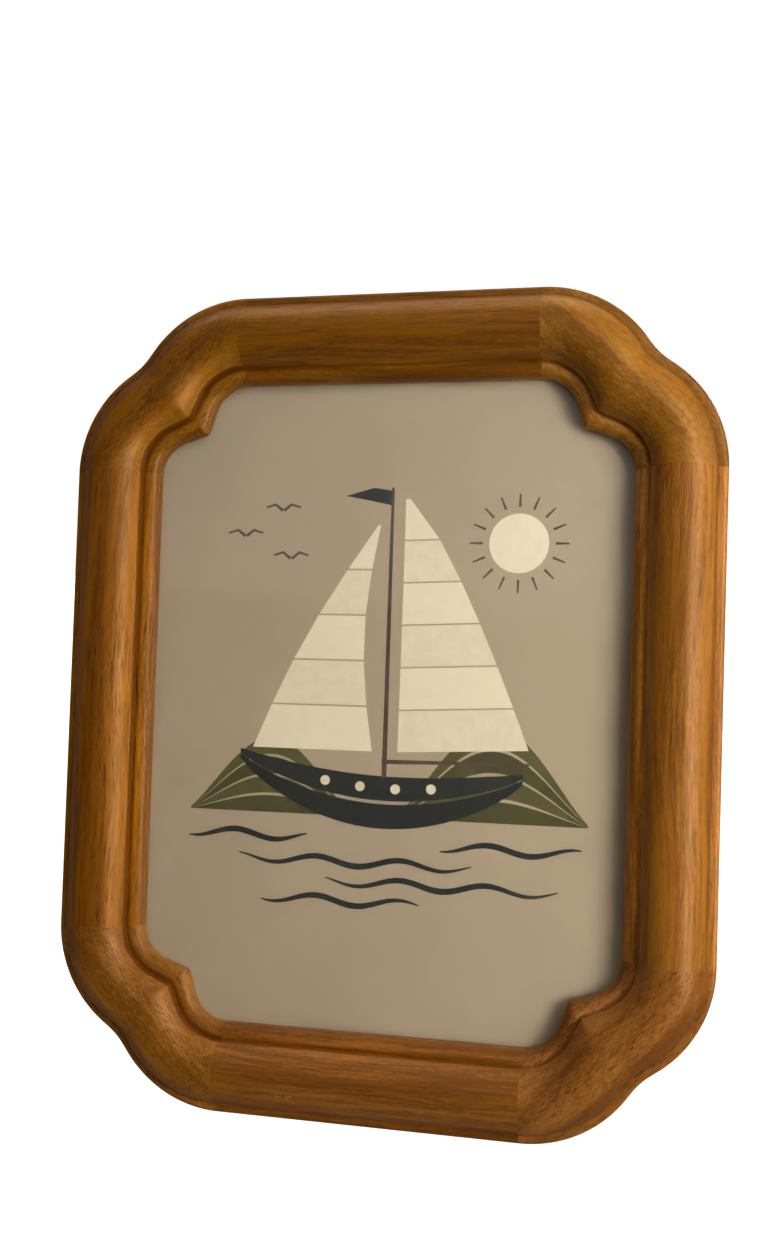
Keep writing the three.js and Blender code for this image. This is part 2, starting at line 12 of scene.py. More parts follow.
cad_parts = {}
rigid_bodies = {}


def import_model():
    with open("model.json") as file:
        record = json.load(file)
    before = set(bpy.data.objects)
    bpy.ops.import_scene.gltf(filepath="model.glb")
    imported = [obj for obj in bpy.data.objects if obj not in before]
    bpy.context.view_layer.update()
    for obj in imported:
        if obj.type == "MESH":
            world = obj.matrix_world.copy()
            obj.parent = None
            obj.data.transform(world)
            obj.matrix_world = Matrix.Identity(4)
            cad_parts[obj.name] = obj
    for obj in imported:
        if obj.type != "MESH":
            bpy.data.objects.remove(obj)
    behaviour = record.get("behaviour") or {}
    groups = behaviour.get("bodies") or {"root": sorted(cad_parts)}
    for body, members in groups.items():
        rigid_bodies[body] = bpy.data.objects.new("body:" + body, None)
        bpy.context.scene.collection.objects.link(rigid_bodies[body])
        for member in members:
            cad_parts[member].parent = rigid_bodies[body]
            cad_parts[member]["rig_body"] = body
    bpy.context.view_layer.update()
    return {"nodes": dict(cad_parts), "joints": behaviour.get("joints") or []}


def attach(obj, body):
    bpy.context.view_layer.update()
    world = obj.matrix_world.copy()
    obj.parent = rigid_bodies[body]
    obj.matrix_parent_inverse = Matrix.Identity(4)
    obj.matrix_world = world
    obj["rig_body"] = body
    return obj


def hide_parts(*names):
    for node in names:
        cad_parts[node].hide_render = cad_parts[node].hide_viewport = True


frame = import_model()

mm = 0.001
nodes = frame["nodes"]
scene = bpy.context.scene

# The frame leans back. Its own axes are right, up the picture and out to the viewer, with the origin
# at the middle of the back of the wood.


def joint_named(name):
    return next(joint for joint in frame["joints"] if joint["name"] == name)


out_axis = Vector(joint_named("turn_left_upper")["axis"]).normalized()
right_axis = Vector((1, 0, 0))
lean = Matrix((right_axis, out_axis.cross(right_axis), out_axis))


def lean_box(node):
    """Lowest and highest corner of a CAD node along the axes of the frame."""
    points = np.array([lean @ vertex.co for vertex in nodes[node].data.vertices])
    return Vector(points.min(0)), Vector(points.max(0))


left_low, left_high = lean_box("left_rail")
right_high = lean_box("right_rail")[1]
bottom_low = lean_box("bottom_rail")[0]
top_low, top_high = lean_box("top_rail")
middle = Vector((left_low.x + right_high.x, bottom_low.y + top_high.y, 2 * top_low.z)) / 2
stand = Matrix.Translation(lean.transposed() @ middle) @ lean.transposed().to_4x4()


def own_box(node):
    """Lowest and highest corner of a CAD node in the frame's own coordinates."""
    low, high = lean_box(node)
    return low - middle, high - middle


# Sizes read from the solids
frame_width = right_high.x - left_low.x
frame_height = top_high.y - bottom_low.y
rail_width = left_high.x - left_low.x
crest_height = top_high.z - top_low.z
top_rail_length = top_high.x - top_low.x
side_rail_length = left_high.y - left_low.y
glass_high = own_box("glass_pane")[1]
print_high = own_box("art_print")[1]

# Section of the moulding
glue_line = 0.03 * mm
sheet_gap = 0.2 * mm
sheet_clearance = 0.8 * mm
rebate_corner = 2.5 * mm
ledge_width = 2.9 * mm
ledge_flat = 0.5 * mm
ledge_round = 1.3 * mm
ledge_step = 1 * mm
round_rise = 6 * mm
bead_width = 4.6 * mm
bead_radius = 3.1 * mm
sight_wall = 1.8 * mm
arris_ease = 0.2 * mm
rebate_depth = glass_high.z + sheet_gap
rebate_inset = frame_width / 2 - glass_high.x - sheet_clearance
foot_height = crest_height - round_rise
groove_inset = rail_width - bead_width

# Plan of a corner block
lobe_spread = 17 * mm
notch_flank = 2.5 * mm
cusp_flank = 7.1 * mm
notch_ease = 5 * mm
cusp_ease = 0.4 * mm
ease_power = 1.4
corner_length = (frame_width - top_rail_length) / 2 - glue_line
lobe_radius = corner_length - lobe_spread


# Meshes

sharp_angle = radians(38)


def shade(mesh):
    mesh.shade_smooth()
    mesh.set_sharp_from_angle(angle=sharp_angle)


def new_object(name, data):
    thing = bpy.data.objects.new(name, data)
    scene.collection.objects.link(thing)
    return thing


def new_piece(name, points, faces, place=stand):
    """Object with a mesh of these points and faces, set in its place."""
    mesh = bpy.data.meshes.new(name)
    mesh.from_pydata([tuple(point) for point in points], [], faces)
    mesh.transform(place)
    shell = bmesh.new()
    shell.from_mesh(mesh)
    bmesh.ops.recalc_face_normals(shell, faces=shell.faces)
    shell.to_mesh(mesh)
    shell.free()
    shade(mesh)
    return new_object(name, mesh)


def settle(piece):
    """Makes the piece's modifiers part of its mesh."""
    graph = bpy.context.evaluated_depsgraph_get()
    mesh = bpy.data.meshes.new_from_object(piece.evaluated_get(graph))
    piece.modifiers.clear()
    piece.data = mesh
    shade(mesh)


def combine(piece, others, operation):
    """Joins other closed pieces to this one, or cuts them out of it."""
    for other in others:
        modifier = piece.modifiers.new("combine", "BOOLEAN")
        modifier.operation = operation
        modifier.object = other
    settle(piece)
    for other in others:
        bpy.data.objects.remove(other)


def soften(piece, width):
    """Breaks the sharp edges of a piece."""
    modifier = piece.modifiers.new("soften", "BEVEL")
    modifier.width = width
    modifier.segments = 2
    modifier.limit_method = "ANGLE"
    modifier.angle_limit = sharp_angle
    settle(piece)


def loft_faces(ring_count, ring_size):
    """Faces of a closed tube through rings of points, with a face on each end."""
    faces = []
    for ring in range(ring_count - 1):
        start = ring * ring_size
        for i in range(ring_size):
            here = start + i
            beside = start + (i + 1) % ring_size
            faces.append((here, beside, beside + ring_size, here + ring_size))
    last = (ring_count - 1) * ring_size
    faces.append(tuple(range(ring_size - 1, -1, -1)))
    faces.append(tuple(range(last, last + ring_size)))
    return faces


def write_points(piece, name, values):
    """Gives each point of a piece a number, or a vector."""
    values = np.asarray(values, np.float32)
    kind, field = ("FLOAT", "value") if values.ndim == 1 else ("FLOAT_VECTOR", "vector")
    attribute = piece.data.attributes.new(name, kind, "POINT")
    attribute.data.foreach_set(field, values.ravel())


def dress(piece, node, material):
    """Puts a piece in the place of a CAD node, on the node's body."""
    piece.data.materials.append(material)
    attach(piece, nodes[node]["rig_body"])
    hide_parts(node)


def arc(centre, radius, start, end, steps):
    """Points of an arc, both ends included. The angles are in radians."""
    angles = np.linspace(start, end, steps + 1)
    return [Vector((centre[0] + radius * cos(a), centre[1] + radius * sin(a))) for a in angles]


def lofted(name, rings, place):
    points = [point for ring in rings for point in ring]
    return new_piece(name, points, loft_faces(len(rings), len(rings[0])), place)


def prism(name, outline, low, high, place):
    """Plate of this outline between two heights."""
    return lofted(name, [[(x, y, z) for x, y in outline] for z in (low, high)], place)


def turned(name, profile, place, sides=40):
    """Solid turned about z. The profile's (radius, height) points begin and end on the axis."""
    points = [(0, 0, profile[0][1])]
    faces = []
    for radius, height in profile[1:-1]:
        circle = arc((0, 0), radius, 0, 2 * pi, sides)[:-1]
        points += [(point.x, point.y, height) for point in circle]
    points.append((0, 0, profile[-1][1]))
    last = len(points) - 1
    for i in range(sides):
        beside = (i + 1) % sides
        faces.append((0, 1 + beside, 1 + i))
        for ring in range(len(profile) - 3):
            start = 1 + ring * sides
            faces.append((start + i, start + beside, start + sides + beside, start + sides + i))
        faces.append((last, last - sides + i, last - sides + beside))
    return new_piece(name, points, faces, place)


def rounded_rectangle(left, low, right, high, round_low, round_high, steps=8):
    """Outline with its two lower and its two upper corners rounded."""
    corners = [
        (right, high, round_high),
        (left, high, round_high),
        (left, low, round_low),
        (right, low, round_low),
    ]
    outline = []
    for i, (x, y, radius) in enumerate(corners):
        if not radius:
            outline.append((x, y))
            continue
        centre = (x + radius * (1 if x == left else -1), y + radius * (1 if y == low else -1))
        bend = arc(centre, radius, i * pi / 2, (i + 1) * pi / 2, steps)
        outline += [tuple(point) for point in bend]
    return outline


def bar_ring(x, y_low, y_high, z_low, z_high, ease):
    """Section of a flat bar across x, with its long edges rounded."""
    outline = rounded_rectangle(y_low, z_low, y_high, z_high, ease, ease, 3)
    return [(x, *point) for point in outline]


def smooth_step(value, low, high):
    share = min(max((value - low) / (high - low), 0), 1)
    return share * share * (3 - 2 * share)


# Moulding


def eased(points, ease, steps):
    """The polyline with each of its sharp corners rounded over a short length on either side."""
    sharp_turn = radians(25)
    clear_of_rounding = ease / 4
    near_corner = 1.2 * ease
    lengths = [0]
    for here, after in zip(points, points[1:]):
        lengths.append(lengths[-1] + (after - here).length)

    def place(length):
        return Vector([np.interp(length, lengths, [point[k] for point in points]) for k in range(2)])

    result = [points[0]]
    free_from = 0
    for i in range(1, len(points) - 1):
        turn = (points[i] - points[i - 1]).angle(points[i + 1] - points[i])
        if turn < sharp_turn:
            if lengths[i] > free_from + clear_of_rounding:
                result.append(points[i])
            continue
        before = place(lengths[i] - ease)
        after = place(lengths[i] + ease)
        while len(result) > 1 and (result[-1] - points[i]).length < near_corner:
            result.pop()
        for share in np.linspace(0, 1, steps + 1):
            bend = before * (1 - share) ** 2 + points[i] * 2 * share * (1 - share) + after * share**2
            result.append(bend)
        free_from = lengths[i] + ease
    return result + [points[-1]]


def moulding_front():
    """Front of the section from the sight edge out and down to the back: distance in from the outer
    edge, and height above the back."""
    bead_steps = 18
    round_steps = 34
    edge_steps = 6
    ease_steps = 5
    bead_centre = (rail_width - bead_radius, rebate_depth + sight_wall)
    bead_end = acos((groove_inset - bead_centre[0]) / bead_radius)
    half_chord = (groove_inset - ledge_width) / 2
    round_radius = (half_chord**2 + round_rise**2) / (2 * round_rise)
    round_centre = (ledge_width + half_chord, crest_height - round_radius)
    round_start = atan2(foot_height - round_centre[1], half_chord)
    ledge_height = foot_height - ledge_step
    edge_centre = (ledge_round, ledge_height - ledge_round)
    corners = [
        Vector((rail_width, rebate_depth)),
        *arc(bead_centre, bead_radius, 0, bead_end, bead_steps),
        *arc(round_centre, round_radius, round_start, pi - round_start, round_steps),
        Vector((ledge_width, ledge_height)),
        Vector((ledge_width - ledge_flat, ledge_height)),
        *arc(edge_centre, ledge_round, pi / 2, pi, edge_steps),
        Vector((0, 0)),
        Vector((rebate_inset, 0)),
    ]
    return eased(corners, arris_ease, ease_steps)[:-1]


section = moulding_front()

# How light the stain lies on each piece: on the ledge, at the foot of the round, on its outer side, at
# its middle, on its inner side, in the groove, on the crest of the bead and at the sight edge. The dark
# foot is painted shade at the step, a groove below 1 is painted shade and one above 1 painted light,
# and the light crest of the bead is painted light, on the left rail a painted highlight. The values
# across the round and at the sight edge are partly the wood's own tone and partly painted light and
# shade.
stain_and_painted_light = {
    "top_rail": (0.8, 0.5, 1.0, 0.76, 0.95, 1.6, 1.12, 0.78),
    "left_rail": (1.1, 0.58, 0.83, 0.54, 0.95, 0.5, 1.5, 0.74),
    "bottom_rail": (0.66, 0.8, 0.92, 0.77, 1.08, 0.66, 1.2, 0.85),
    "right_rail": (1.3, 0.52, 0.95, 0.84, 0.76, 1.9, 2.3, 1.0),
    "top_right_corner": (0.9, 0.55, 1.0, 0.86, 0.8, 1.1, 1.4, 0.95),
    "top_left_corner": (1.0, 0.62, 0.92, 0.75, 0.95, 0.58, 1.1, 0.8),
    "bottom_left_corner": (0.9, 0.8, 0.9, 0.77, 1.05, 0.58, 1.15, 0.85),
    "bottom_right_corner": (0.9, 0.75, 0.94, 0.88, 0.92, 1.6, 1.3, 0.95),
}


def stain_and_light_of(inset, stain):
    """How light the stain, with its painted light and shade, is at a distance in from the outer edge.
    """
    ledge, foot, outer, middle_part, inner, groove, crest, sight = stain
    stations = [
        (ledge_width - ledge_flat, ledge),
        (ledge_width - 0.1 * mm, foot),
        (ledge_width + 0.1 * mm, foot),
        (ledge_width + 0.7 * mm, outer),
        (0.3 * rail_width, outer),
        (0.45 * rail_width, middle_part),
        (0.53 * rail_width, middle_part),
        (0.72 * rail_width, inner),
        (groove_inset - 0.1 * mm, inner),
        (groove_inset, groove),
        (groove_inset + 0.3 * mm, groove),
        (rail_width - 0.95 * bead_radius, crest),
        (rail_width - 0.45 * bead_radius, sight),
    ]
    return np.interp(inset, *zip(*stations))


# Corner blocks

lobe_steps = 40
flank_steps = 16


def corner_plan(inset):
    """Plan of a corner at one distance in from the outer edge, from joint to joint: two lobes with
    straight flanks that meet on the diagonal. The two outer edges would meet at the origin."""
    radius = lobe_radius - inset
    share = inset / rail_width
    flank = notch_flank + (cusp_flank - notch_flank) * share
    ease = cusp_ease + notch_ease * (1 - share) ** ease_power
    sweep = acos((sqrt(2) * flank - lobe_spread) / (sqrt(2) * radius)) - pi / 4
    half = arc((corner_length, lobe_radius), radius, -pi / 2, -pi / 2 - sweep, lobe_steps)
    lobe_end = half[-1].copy()
    flank_length = (lobe_end.x - lobe_end.y) / (cos(sweep) + sin(sweep))
    along = Vector((-cos(sweep), sin(sweep))) * flank_length
    for i in range(1, flank_steps + 1):
        half.append(lobe_end + along * (1 - (1 - i / flank_steps) ** 2))
    slope = tan(sweep - pi / 4)
    for point in half:
        from_diagonal = (point.x - point.y) / sqrt(2)
        into_rounding = max(ease - from_diagonal, 0)
        pull_back = slope * into_rounding**2 / (2 * ease * sqrt(2))
        point.x = -(point.x - pull_back)
        point.y = -(point.y - pull_back)
    return half + [Vector((point.y, point.x)) for point in reversed(half[:-1])]


def rebate_plan(stations):
    """Plan of the rebate's wall in a corner, with as many points as the corner has stations."""
    straight = corner_length - rebate_inset - rebate_corner
    half_arc = rebate_corner * pi / 4
    centre = -rebate_inset - rebate_corner
    half_count = stations // 2
    half = []
    for i in range(half_count + 1):
        travel = (straight + half_arc) * i / half_count
        if travel < straight:
            half.append(Vector((travel - corner_length, -rebate_inset)))
            continue
        angle = pi / 2 - (travel - straight) / rebate_corner
        x = centre + rebate_corner * cos(angle)
        y = centre + rebate_corner * sin(angle)
        half.append(Vector((x, y)))
    return half + [Vector((point.y, point.x)) for point in reversed(half[:-1])]


def corner_rings():
    plans = [corner_plan(point.x) for point in section]
    wall = rebate_plan(len(plans[0]))
    rings = []
    for station in range(len(wall)):
        ring = [(*plan[station], point.y) for plan, point in zip(plans, section)]
        ring.append((*wall[station], 0))
        ring.append((*wall[station], rebate_depth))
        rings.append(ring)
    return rings


def rail_rings(length):
    """Rail along x with its outer edge at y = 0."""
    station_gap = 3 * mm
    stations = np.linspace(-length / 2, length / 2, round(length / station_gap) + 1)
    outline = [*section, Vector((rebate_inset, 0)), Vector((rebate_inset, rebate_depth))]
    return [[(x, -point.x, point.y) for point in outline] for x in stations]


# Small pale scuffs in the varnish: where they are on the frame, and how far they reach
scuffs = [
    (Vector((-23, -116, 19)) * mm, 4 * mm),
    (Vector((-49, 107, 19)) * mm, 3 * mm),
    (Vector((-72, 84, 17)) * mm, 4 * mm),
]


def wear_of(point):
    """How scuffed the frame is at a point, from 0 to 1."""
    return max(exp(-(((point - place).length / reach) ** 2)) for place, reach in scuffs)


# How much lighter or darker the wood grows towards its first and its last end
end_tones = {
    "top_rail": (1, 1.18),
    "right_rail": (1.25, 1),
    "top_right_corner": (0.85, 0.92),
}
end_reach = 18 * mm
rail_evening = 0.8

# Powers of the lightness of the stain and its painted light and shade in red, green and blue, and the
# most that counts in the blue
stain_and_light_powers = (0.9, 1.1, 3.2)
blue_limit = 1.25


def stain_and_light_along(name, rings, evening):
    """How light the stain, with its painted light and shade, is at each point of each ring, and how
    light each ring is as a whole. Towards the ends of a piece its lighter parts, painted light among
    them, even out, and it takes on the tones of those ends."""
    shades = np.array([stain_and_light_of(point.x, stain_and_painted_light[name]) for point in section] + [1, 1])
    middles = np.array(rings).mean(axis=1)
    steps = np.linalg.norm(np.diff(middles, axis=0), axis=1)
    travel = np.concatenate([[0], np.cumsum(steps)])
    near_first = np.exp(-((travel / end_reach) ** 2))
    near_last = np.exp(-(((travel[-1] - travel) / end_reach) ** 2))
    near_end = (near_first + near_last)[:, None]
    evened = np.where(shades > 1, shades ** (1 - evening * near_end), shades)
    first, last = end_tones.get(name, (1, 1))
    return evened, 1 + (first - 1) * near_first + (last - 1) * near_last


def add_wood(name, rings, place, diagonal, shift, tint, pores):
    """One block of wood, with its grain along the rail or along the corner's diagonal. Its stain, with
    the painted light and shade laid into it, is redder where it is darker."""
    points = [Vector(point) for ring in rings for point in ring]
    if diagonal:
        along = np.array([(p.x - p.y, p.x + p.y, sqrt(2) * p.z) for p in points]) / sqrt(2)
    else:
        along = np.array(points)
    piece = lofted(name + "_wood", rings, stand @ place)
    write_points(piece, "grain", along / mm + np.array(shift))
    shades, fade = stain_and_light_along(name, rings, 0 if diagonal else rail_evening)
    red, green, blue = stain_and_light_powers
    strength = np.stack([shades**red, shades**green, np.minimum(shades, blue_limit) ** blue], axis=-1)
    strength = strength * np.array(tint) * fade[:, None, None]
    # The tint carries the stain with painted shade at the step and in some grooves, and painted light
    # on the bead
    write_points(piece, "tint", strength.reshape(-1, 3))
    varnish = [1.0 if point.x > ledge_round / 2 else 0.0 for point in section] + [0.0, 0.0]
    write_points(piece, "varnish", varnish * len(rings))
    write_points(piece, "wear", [wear_of(place @ point) for point in points])
    write_points(piece, "short", [1.0 if diagonal else 0.0] * len(points))
    write_points(piece, "pores", [pores] * len(points))
    dress(piece, name, wood)


# Materials


def srgb(red, green, blue):
    """Colour for a shader from the 0 to 255 values of a picture."""
    shares = [value / 255 for value in (red, green, blue)]
    linear = [s / 12.92 if s <= 0.04045 else ((s + 0.055) / 1.055) ** 2.4 for s in shares]
    return (*linear, 1)


def add_node(tree, kind, inputs, **settings):
    """Shader node with these settings. Its inputs are values, or the outputs of other nodes."""
    node = tree.nodes.new("ShaderNode" + kind)
    for name, value in settings.items():
        setattr(node, name, value)
    for key, value in inputs.items():
        if isinstance(value, bpy.types.NodeSocket):
            tree.links.new(value, node.inputs[key])
        else:
            node.inputs[key].default_value = value
    return node


class Surface:
    """A procedural material, and short ways to add its nodes."""

    def __init__(self, name):
        self.material = bpy.data.materials.new(name)
        self.material.use_nodes = True
        self.tree = self.material.node_tree
        self.tree.nodes.clear()

    def add(self, kind, inputs, **settings):
        return add_node(self.tree, kind, inputs, **settings)

    def attribute(self, name, output):
        return self.add("Attribute", {}, attribute_name=name).outputs[output]

    def object_place(self):
        return self.add("TexCoord", {}).outputs["Object"]

    def stretch(self, vector, scale):
        return self.add("VectorMath", {0: vector, 1: scale}, operation="MULTIPLY").outputs[0]

    def shift(self, vector, offset):
        return self.add("VectorMath", {0: vector, 1: offset}, operation="ADD").outputs[0]

    def noise(self, vector, scale=1.0, detail=2.0, roughness=0.5):
        inputs = {"Vector": vector, "Scale": scale, "Detail": detail, "Roughness": roughness}
        return self.add("TexNoise", inputs).outputs["Fac"]

    def streaks(self, vector, along, across, detail, roughness=0.5):
        """Noise drawn out along x, by its scales along x and across it."""
        return self.noise(self.stretch(vector, (along, across, across)), 1.0, detail, roughness)

    def spread(self, value, low, high, to_low=0.0, to_high=1.0):
        """Takes low..high to to_low..to_high, with soft ends."""
        inputs = {0: value, 1: low, 2: high, 3: to_low, 4: to_high}
        return self.add("MapRange", inputs, interpolation_type="SMOOTHSTEP").outputs[0]

    def math(self, operation, first, second):
        return self.add("Math", {0: first, 1: second}, operation=operation).outputs[0]

    def weighted(self, *parts):
        """Sum of values, each times its weight."""
        products = [self.math("MULTIPLY", value, weight) for value, weight in parts]
        total = products[0]
        for product in products[1:]:
            total = self.math("ADD", total, product)
        return total

    def mix(self, share, first, second, blend="MIX"):
        inputs = {0: share, 6: first, 7: second}
        return self.add("Mix", inputs, data_type="RGBA", blend_type=blend).outputs[2]

    def blend(self, share, first, second):
        return self.add("Mix", {0: share, 2: first, 3: second}).outputs[0]

    def bump(self, height, distance, normal=None):
        inputs = {"Height": height, "Distance": distance, "Strength": 1.0}
        if normal is not None:
            inputs["Normal"] = normal
        return self.add("Bump", inputs).outputs["Normal"]

    def finish(self, shader):
        self.add("OutputMaterial", {"Surface": shader})
        return self.material

    def principled(self, **inputs):
        named = {name.replace("_", " "): value for name, value in inputs.items()}
        return self.add("BsdfPrincipled", named).outputs["BSDF"]

    def finish_principled(self, **inputs):
        return self.finish(self.principled(**inputs))


def stained_wood():
    """Varnished hardwood. Its grain attribute is in millimetres, with x along the fibres."""
    s = Surface("stained_wood")
    grain = s.attribute("grain", "Vector")
    tint = s.attribute("tint", "Vector")
    wear = s.attribute("wear", "Fac")
    short = s.attribute("short", "Fac")
    # The fibres wander slowly from side to side
    slow = s.stretch(grain, (0.012, 0.03, 0.03))
    wander = s.add("TexNoise", {"Vector": slow, "Scale": 1.0, "Detail": 1.0}).outputs["Color"]
    sway = s.stretch(s.shift(wander, (-0.5, -0.5, -0.5)), (0.0, 7.0, 7.0))
    bent = s.shift(grain, sway)
    # Tone, from broad bands down to single fibres
    bands = s.streaks(bent, 0.007, 0.13, 2.0)
    lines = s.streaks(bent, 0.02, 0.7, 3.0, 0.6)
    fibres = s.streaks(bent, 0.075, 2.0, 2.0, 0.6)
    flecks = s.streaks(bent, 0.4, 1.5, 4.0, 0.7)
    long_tone = s.weighted((bands, 0.3), (lines, 0.28), (fibres, 0.2), (flecks, 0.22))
    short_tone = s.math("ADD", s.weighted((bands, 0.35), (lines, 0.15), (flecks, 0.4)), 0.05)
    tone = s.blend(short, long_tone, short_tone)
    colour = s.mix(s.spread(tone, 0.41, 0.59), srgb(136, 78, 5), srgb(190, 120, 16))
    # Short dark pores in loose groups
    groups = s.spread(s.streaks(bent, 0.02, 0.15, 1.0), 0.42, 0.58)
    dashes = s.blend(short, s.streaks(bent, 0.1, 2.4, 1.0), s.streaks(bent, 0.4, 2.6, 1.0))
    pores = s.math("MULTIPLY", s.spread(dashes, 0.585, 0.67), groups)
    pores = s.math("MULTIPLY", pores, s.attribute("pores", "Fac"))
    colour = s.mix(pores, colour, srgb(86, 45, 7))
    # The tint lays on the stain, with painted shade at the step and in some grooves and painted light
    # on the bead
    colour = s.mix(1.0, colour, tint, blend="MULTIPLY")
    # Small pale chips where the frame is scuffed
    chips = s.streaks(grain, 1.1, 2.6, 1.0)
    chipped = s.math("MULTIPLY", s.spread(chips, 0.64, 0.7), s.spread(wear, 0.3, 0.8))
    colour = s.mix(s.math("MULTIPLY", chipped, 0.6), colour, srgb(214, 178, 122))
    # Varnish that follows the sanded surface and sinks into the pores
    ripple = s.streaks(bent, 0.05, 0.25, 2.0)
    dents = s.math("SUBTRACT", s.math("ADD", fibres, flecks), pores)
    normal = s.bump(dents, 0.06 * mm, s.bump(ripple, 0.15 * mm))
    # The outer side and the back have little varnish
    smear = s.streaks(grain, 0.08, 0.6, 4.0)
    varnish = s.attribute("varnish", "Fac")
    return s.finish_principled(
        Base_Color=colour,
        Roughness=s.blend(varnish, 0.75, s.spread(smear, 0.3, 0.7, 0.34, 0.44)),
        Specular_IOR_Level=0.55,
        Specular_Tint=(1.0, 0.65, 0.34, 1),
        Coat_Weight=0.05,
        Coat_Roughness=0.28,
        Normal=normal,
    )


def paper():
    s = Surface("print_paper")
    place = s.object_place()
    tooth = s.noise(place, scale=2600.0, detail=3.0, roughness=0.6)
    cloud = s.noise(place, scale=26.0, detail=3.0)
    colour = s.mix(cloud, srgb(160, 138, 111), srgb(171, 150, 121))
    colour = s.mix(s.spread(tooth, 0.35, 0.75, 0.0, 0.25), colour, srgb(136, 118, 95))
    return s.finish_principled(Base_Color=colour, Roughness=0.75, Normal=s.bump(tooth, 0.02 * mm))


def clear_glass():
    s = Surface("clear_glass")
    place = s.object_place()
    smear = s.spread(s.noise(place, scale=18.0, detail=4.0), 0.3, 0.8, 0.03, 0.08)
    tint = (0.98, 0.99, 0.985, 1)
    glass = s.principled(Base_Color=tint, Roughness=smear, Transmission_Weight=1.0, IOR=1.5)
    open_way = s.add("BsdfTransparent", {"Color": (0.95, 0.96, 0.955, 1)}).outputs[0]
    from_lamp = s.add("LightPath", {}).outputs["Is Shadow Ray"]
    return s.finish(s.add("MixShader", {0: from_lamp, 1: glass, 2: open_way}).outputs[0])


def fibreboard():
    s = Surface("fibreboard")
    place = s.object_place()
    fibres = s.noise(s.stretch(place, (900.0, 1400.0, 900.0)), detail=4.0, roughness=0.7)
    cloud = s.noise(place, scale=40.0, detail=3.0)
    colour = s.mix(s.spread(fibres, 0.3, 0.7), srgb(92, 62, 38), srgb(134, 97, 63))
    colour = s.mix(s.spread(cloud, 0.35, 0.7, 0.0, 0.35), colour, srgb(80, 52, 32))
    return s.finish_principled(Base_Color=colour, Roughness=0.8, Normal=s.bump(fibres, 0.08 * mm))


def plated_metal(name, light, dark):
    s = Surface(name)
    place = s.object_place()
    brush = s.streaks(place, 300.0, 4000.0, 3.0, 0.6)
    stain = s.spread(s.noise(place, scale=160.0, detail=4.0), 0.45, 0.75)
    colour = s.mix(stain, light, dark)
    roughness = s.spread(brush, 0.2, 0.8, 0.28, 0.48)
    normal = s.bump(brush, 0.01 * mm)
    return s.finish_principled(Base_Color=colour, Metallic=1.0, Roughness=roughness, Normal=normal)


def beech():
    s = Surface("dowel_wood")
    place = s.object_place()
    fibres = s.streaks(place, 700.0, 700.0, 3.0)
    flecks = s.streaks(place, 2500.0, 2500.0, 2.0)
    colour = s.mix(fibres, srgb(206, 170, 124), srgb(186, 146, 100))
    colour = s.mix(s.spread(flecks, 0.6, 0.7), colour, srgb(150, 108, 70))
    return s.finish_principled(Base_Color=colour, Roughness=0.7, Normal=s.bump(fibres, 0.05 * mm))


def ink(name, light, dark):
    """Printed colour, a little uneven, between two shades that the tone attribute chooses."""
    s = Surface(name)
    place = s.object_place()
    tooth = s.noise(place, scale=2600.0, detail=3.0, roughness=0.6)
    cloud = s.noise(place, scale=300.0, detail=3.0)
    tone = s.math("ADD", s.attribute("tone", "Fac"), s.spread(cloud, 0.3, 0.7, -0.15, 0.15))
    colour = s.mix(s.spread(tone, 0.0, 1.0), dark, light)
    colour = s.mix(s.spread(tooth, 0.4, 0.75, 0.0, 0.2), colour, dark)
    return s.finish_principled(Base_Color=colour, Roughness=0.7, Normal=s.bump(tooth, 0.02 * mm))


wood = stained_wood()
board_finish = fibreboard()
steel = plated_metal("plated_steel", srgb(205, 203, 196), srgb(150, 146, 138))
brass = plated_metal("brassed_steel", srgb(214, 178, 112), srgb(160, 120, 66))

# Wood pieces


def on_frame(x, y, turns):
    """Place at these shares of the frame's width and height, after some quarter turns."""
    turn = Matrix.Rotation(turns * pi / 2, 4, "Z")
    return Matrix.Translation((x * frame_width, y * frame_height, 0)) @ turn


# Each block has its quarter turns, its place, the length if it is a rail, its own stretch of grain, the
# colour of its stain and the strength of its pores. On the bottom rail, the right rail and the top
# right, bottom left and bottom right corners the blue of that colour is raised well above 1, a painted
# pale sheen.
for name, turns, x, y, length, shift, tint, pores in [
    ("top_rail", 0, 0, 0.5, top_rail_length, (11, 40, 27), (0.53, 0.5, 0.06), 0.7),
    ("left_rail", 1, -0.5, 0, side_rail_length, (431, 55, 61), (0.79, 0.75, 0.5), 0.85),
    # A blue above 1 in these colours is a painted pale sheen
    ("bottom_rail", 2, 0, -0.5, top_rail_length, (877, 35, 93), (0.71, 0.69, 3.4), 0.45),
    ("right_rail", -1, 0.5, 0, side_rail_length, (1299, 47, 36), (0.9, 0.93, 4.2), 0.75),
    ("top_right_corner", 0, 0.5, 0.5, None, (1711, 52, 31), (0.89, 0.98, 3.4), 0.5),
    ("top_left_corner", 1, -0.5, 0.5, None, (2153, 44, 67), (0.66, 0.65, 0.6), 0.85),
    ("bottom_left_corner", 2, -0.5, -0.5, None, (2599, 61, 23), (0.85, 0.89, 3.6), 0.85),
    ("bottom_right_corner", -1, 0.5, -0.5, None, (3023, 38, 52), (0.72, 0.72, 4.6), 0.75),
]:
    rings = rail_rings(length) if length else corner_rings()
    add_wood(name, rings, on_frame(x, y, turns), not length, shift, tint, pores)


